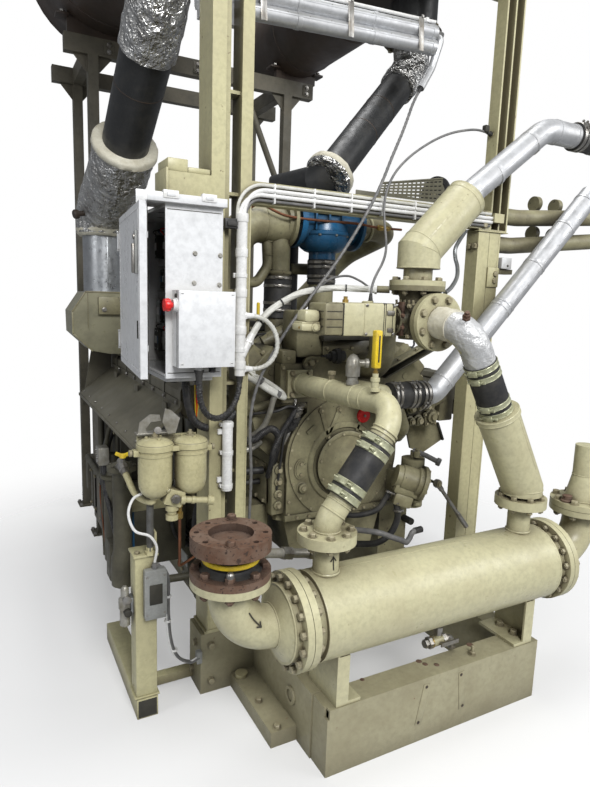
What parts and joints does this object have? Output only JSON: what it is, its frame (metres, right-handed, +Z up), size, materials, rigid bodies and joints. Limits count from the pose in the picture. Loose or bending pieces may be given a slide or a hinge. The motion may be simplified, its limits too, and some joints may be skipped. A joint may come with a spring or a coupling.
{
  "type": "generator set",
  "caption": "Gas engine generating set on a skid with a heat exchanger across its front, a portal of posts carrying two silencers, exhaust pipes and a hinged electrical cabinet.",
  "frame": {"origin": "middle of the underside of the front crossbeam, on the floor", "axes": "+X to the right along the front crossbeam as seen from the front, +Y back along the crankshaft, +Z up"},
  "size_m": [2.4446, 3.514, 3.939],
  "materials": {
    "frame_paint": "satin",
    "engine_paint": "satin",
    "dark_frame": "satin",
    "silencer_paint": "matte",
    "black_exhaust": "matte",
    "galvanised": "brushed",
    "cladding": "satin",
    "rusty_iron": "rough",
    "rubber": "matte",
    "white_paint": "gloss",
    "blue_paint": "gloss",
    "white_plastic": "gloss",
    "red_plastic": "gloss",
    "bare_steel": "brushed",
    "grey_cable": "matte"
  },
  "bodies": {
    "set": {"front_crossbeam": "frame_paint", "skid_frame": "frame_paint", "left_post": "frame_paint", "right_post": "frame_paint", "portal_beams": "frame_paint", "platform_frame": "dark_frame", "silencers": "silencer_paint", "exhaust_pipe_left": "black_exhaust", "exhaust_riser_left": "galvanised", "exhaust_pipe_right": "black_exhaust", "clad_pipes": "cladding", "crankcase": "engine_paint", "oil_sump": "engine_paint", "gear_cover": "engine_paint", "cylinder_heads": "engine_paint", "exhaust_manifolds": "engine_paint", "intake_plenum": "engine_paint", "mixer": "blue_paint", "alternator": "engine_paint", "exchanger_shell": "frame_paint", "inlet_elbow": "frame_paint", "outlet_elbow": "frame_paint", "rusty_flanges": "rusty_iron", "rubber_bellows": "rubber", "engine_pipes": "frame_paint", "rubber_hoses": "rubber", "three_way_valve": "engine_paint", "valve_actuator": "frame_paint", "upper_insulated_pipe": "frame_paint", "bright_pipes": "galvanised", "downpipe": "frame_paint", "side_pipes": "frame_paint", "cabinet_body": "white_paint", "junction_box": "white_paint", "conduit": "white_plastic", "filter_stand": "frame_paint", "actuator_cord": "grey_cable", "box_loom_cord": "rubber", "long_grey_cord": "grey_cable", "white_bundle_cord": "white_plastic", "white_loop_cord": "white_plastic"},
    "door": {"cabinet_door": "white_paint"},
    "stop": {"stop_button": "red_plastic"},
    "pump_arm": {"pump_lever": "bare_steel"},
    "tap_arm": {"tap_lever": "bare_steel"}
  },
  "joints": [
    {"name": "cabinet_door_hinge", "type": "hinge", "parent": "set", "child": "door", "pos_m": [-0.941, 1, 1.6065], "axis": [0, 0, -1], "range_deg": [-5.5, 110]},
    {"name": "stop_button_press", "type": "slide", "parent": "set", "child": "stop", "axis": [1, 0, 0], "range_m": [0, 0.003], "stiffness_N_per_m": 900, "springref_m": -0.002},
    {"name": "pump_lever_hinge", "type": "hinge", "parent": "set", "child": "pump_arm", "pos_m": [0.41, 0.5, 0.76], "axis": [0, -1, 0], "range_deg": [-20, 60]},
    {"name": "drain_tap_turn", "type": "hinge", "parent": "set", "child": "tap_arm", "pos_m": [0.05, 0.02, 0.31], "axis": [0, -1, 0], "range_deg": [0, 90]}
  ]
}
